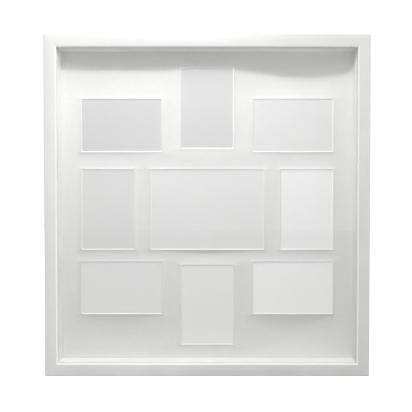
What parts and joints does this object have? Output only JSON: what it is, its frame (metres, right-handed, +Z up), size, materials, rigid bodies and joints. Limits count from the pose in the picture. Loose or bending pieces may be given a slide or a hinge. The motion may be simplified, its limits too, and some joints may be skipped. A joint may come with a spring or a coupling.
{
  "type": "collage photo frame",
  "caption": "White deep box frame with a window mat that holds a collage of pictures behind a clear pane, hung on a wall or stood up.",
  "frame": {"origin": "middle of the bottom rail's underside, half way between its front and back", "axes": "+X to the viewer's right, +Y away from the viewer through the frame's back, +Z up the frame's height"},
  "size_m": [0.572, 0.069, 0.6],
  "materials": {
    "white_rail": "white satin lacquer on fibreboard",
    "white_spacer": "white matt foil on fibreboard",
    "bare_wood": "sawn, unfinished",
    "grey_card": "smooth plain card",
    "mat": "white board with a fine linen grain",
    "clear_pane": "clear, polished",
    "hardboard": "smooth pressed face",
    "steel": "bright zinc plating",
    "soft_pad": "translucent soft bumper"
  },
  "bodies": {
    "root": {"rail_bottom": "white_rail", "rail_top": "white_rail", "rail_left": "white_rail", "rail_right": "white_rail", "corner_nails": "steel", "pane": "clear_pane", "front_spacer_bottom": "white_spacer", "front_spacer_top": "white_spacer", "front_spacer_left": "white_spacer", "front_spacer_right": "white_spacer", "mat_board": "mat", "card_top_left": "grey_card", "card_top_centre": "grey_card", "card_top_right": "grey_card", "card_middle_left": "grey_card", "card_centre": "grey_card", "card_middle_right": "grey_card", "card_bottom_left": "grey_card", "card_bottom_centre": "grey_card", "card_bottom_right": "grey_card", "rear_spacer_bottom": "bare_wood", "rear_spacer_top": "bare_wood", "rear_spacer_left": "bare_wood", "rear_spacer_right": "bare_wood", "backing_board": "hardboard", "button_screws": "steel", "hanger_left": "steel", "hanger_right": "steel", "hanger_screws": "steel", "wall_pads": "soft_pad"},
    "button_bottom_left": {"button_bottom_left": "steel"},
    "button_bottom_right": {"button_bottom_right": "steel"},
    "button_top_left": {"button_top_left": "steel"},
    "button_top_right": {"button_top_right": "steel"},
    "button_left_lower": {"button_left_lower": "steel"},
    "button_left_upper": {"button_left_upper": "steel"},
    "button_right_lower": {"button_right_lower": "steel"},
    "button_right_upper": {"button_right_upper": "steel"}
  },
  "joints": [
    {"name": "turn_bottom_left", "type": "hinge", "parent": "root", "child": "button_bottom_left", "pos_m": [-0.135, 0.0319, 0.0075], "axis": [0, 1, 0], "continuous": true},
    {"name": "turn_bottom_right", "type": "hinge", "parent": "root", "child": "button_bottom_right", "pos_m": [0.135, 0.0319, 0.0075], "axis": [0, 1, 0], "continuous": true},
    {"name": "turn_top_left", "type": "hinge", "parent": "root", "child": "button_top_left", "pos_m": [-0.135, 0.0319, 0.5925], "axis": [0, 1, 0], "continuous": true},
    {"name": "turn_top_right", "type": "hinge", "parent": "root", "child": "button_top_right", "pos_m": [0.135, 0.0319, 0.5925], "axis": [0, 1, 0], "continuous": true},
    {"name": "turn_left_lower", "type": "hinge", "parent": "root", "child": "button_left_lower", "pos_m": [-0.2785, 0.0319, 0.165], "axis": [0, 1, 0], "continuous": true},
    {"name": "turn_left_upper", "type": "hinge", "parent": "root", "child": "button_left_upper", "pos_m": [-0.2785, 0.0319, 0.435], "axis": [0, 1, 0], "continuous": true},
    {"name": "turn_right_lower", "type": "hinge", "parent": "root", "child": "button_right_lower", "pos_m": [0.2785, 0.0319, 0.165], "axis": [0, 1, 0], "continuous": true},
    {"name": "turn_right_upper", "type": "hinge", "parent": "root", "child": "button_right_upper", "pos_m": [0.2785, 0.0319, 0.435], "axis": [0, 1, 0], "continuous": true}
  ]
}
